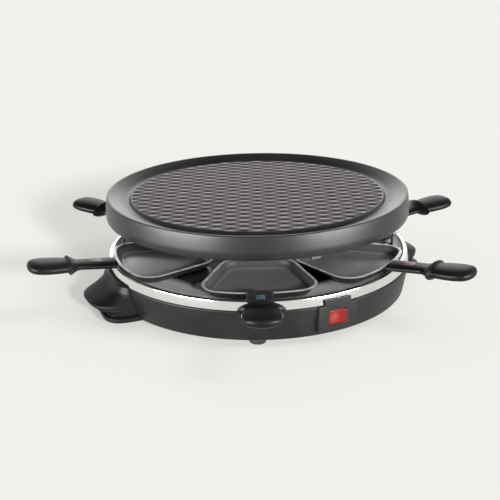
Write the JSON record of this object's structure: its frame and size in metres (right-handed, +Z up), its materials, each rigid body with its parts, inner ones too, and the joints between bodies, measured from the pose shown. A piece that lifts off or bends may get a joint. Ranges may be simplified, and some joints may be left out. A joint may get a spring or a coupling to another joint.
{
  "type": "raclette grill",
  "caption": "Round raclette grill: cast plate with lozenge grid above a heating element, with small pans that pull out over a steel dish in a black base with carrying handles and a switch.",
  "frame": {"origin": "on the ground below the centre of the base", "axes": "+Z up, -Y towards the rocker switch, +X along the longest extent, through the pans on the left and right"},
  "size_m": [0.4703, 0.4157, 0.106],
  "materials": {
    "base_moulding": "fine textured black plastic",
    "grip_moulding": "satin black heat-resistant plastic",
    "polished_steel": "polished stainless steel sheet",
    "coated_casting": "cast aluminium with dark non-stick coating",
    "coated_pan": "steel sheet with dark non-stick coating",
    "blackened_steel": "blackened steel strip",
    "zinc_plate": "zinc-plated steel",
    "element_sheath": "heat-browned steel tube",
    "aluminium_sheet": "plain aluminium sheet",
    "ceramic": "white steatite ceramic",
    "rubber": "black rubber",
    "red_lens": "clear red plastic over a lamp",
    "lamp_glass": "neon lamp glass",
    "brown_insulation": "brown heat-resistant insulation",
    "black_insulation": "black heat-resistant insulation",
    "blue_insulation": "blue heat-resistant insulation",
    "teal_marker": "teal plastic",
    "red_marker": "dark red plastic",
    "olive_marker": "olive plastic",
    "blue_marker": "blue plastic",
    "orange_marker": "orange plastic",
    "white_marker": "white plastic"
  },
  "bodies": {
    "grill": {"base_housing": "base_moulding", "bottom_cover": "base_moulding", "cable_inlet": "rubber", "carrying_handle_left": "grip_moulding", "carrying_handle_right": "grip_moulding", "cover_screw_1": "zinc_plate", "cover_screw_2": "zinc_plate", "cover_screw_3": "zinc_plate", "cover_screw_4": "zinc_plate", "element_bush": "ceramic", "element_clip_1": "zinc_plate", "element_clip_2": "zinc_plate", "element_clip_3": "zinc_plate", "foot_1": "rubber", "foot_2": "rubber", "foot_3": "rubber", "foot_4": "rubber", "heat_shield": "aluminium_sheet", "heating_element": "element_sheath", "indicator_lamp": "lamp_glass", "post_screw_1": "zinc_plate", "post_screw_2": "zinc_plate", "post_screw_3": "zinc_plate", "post_screw_4": "zinc_plate", "reflector_dish": "polished_steel", "rocker_pin": "zinc_plate", "support_post_1": "blackened_steel", "support_post_2": "blackened_steel", "support_post_3": "blackened_steel", "support_post_4": "blackened_steel", "support_ring": "blackened_steel", "switch_body": "base_moulding", "switch_housing": "base_moulding", "terminal_block": "ceramic", "thermal_fuse": "aluminium_sheet", "wire_fused": "black_insulation", "wire_live": "brown_insulation", "wire_neutral": "blue_insulation", "wire_switched": "black_insulation"},
    "plate": {"grill_plate": "coated_casting"},
    "rocker": {"rocker": "red_lens"},
    "front_left_pan": {"front_left_pan_tray": "coated_pan", "front_left_pan_handle": "grip_moulding", "front_left_pan_marker": "teal_marker"},
    "front_right_pan": {"front_right_pan_tray": "coated_pan", "front_right_pan_handle": "grip_moulding", "front_right_pan_marker": "red_marker"},
    "left_pan": {"left_pan_tray": "coated_pan", "left_pan_handle": "grip_moulding", "left_pan_marker": "olive_marker"},
    "right_pan": {"right_pan_tray": "coated_pan", "right_pan_handle": "grip_moulding", "right_pan_marker": "blue_marker"},
    "rear_left_pan": {"rear_left_pan_tray": "coated_pan", "rear_left_pan_handle": "grip_moulding", "rear_left_pan_marker": "orange_marker"},
    "rear_right_pan": {"rear_right_pan_tray": "coated_pan", "rear_right_pan_handle": "grip_moulding", "rear_right_pan_marker": "white_marker"}
  },
  "joints": [
    {"name": "grill_plate_lift", "type": "slide", "parent": "grill", "child": "plate", "axis": [0, 0, 1], "range_m": [0, 0.08]},
    {"name": "front_left_pan_slide", "type": "slide", "parent": "grill", "child": "front_left_pan", "axis": [-0.4267, -0.8635, 0.2689], "range_m": [0, 0.103]},
    {"name": "front_right_pan_slide", "type": "slide", "parent": "grill", "child": "front_right_pan", "axis": [0.4492, -0.852, 0.2689], "range_m": [0, 0.103]},
    {"name": "left_pan_slide", "type": "slide", "parent": "grill", "child": "left_pan", "axis": [-0.9579, 0.1007, 0.2689], "range_m": [0, 0.103]},
    {"name": "right_pan_slide", "type": "slide", "parent": "grill", "child": "right_pan", "axis": [0.9627, -0.0286, 0.2689], "range_m": [0, 0.103]},
    {"name": "rear_left_pan_slide", "type": "slide", "parent": "grill", "child": "rear_left_pan", "axis": [-0.5175, 0.8123, 0.2689], "range_m": [0, 0.103]},
    {"name": "rear_right_pan_slide", "type": "slide", "parent": "grill", "child": "rear_right_pan", "axis": [0.4961, 0.8256, 0.2689], "range_m": [0, 0.103]},
    {"name": "rocker_hinge", "type": "hinge", "parent": "grill", "child": "rocker", "pos_m": [0, -0.1507, 0.02505], "axis": [0, 0, 1], "range_deg": [0, 14]}
  ]
}
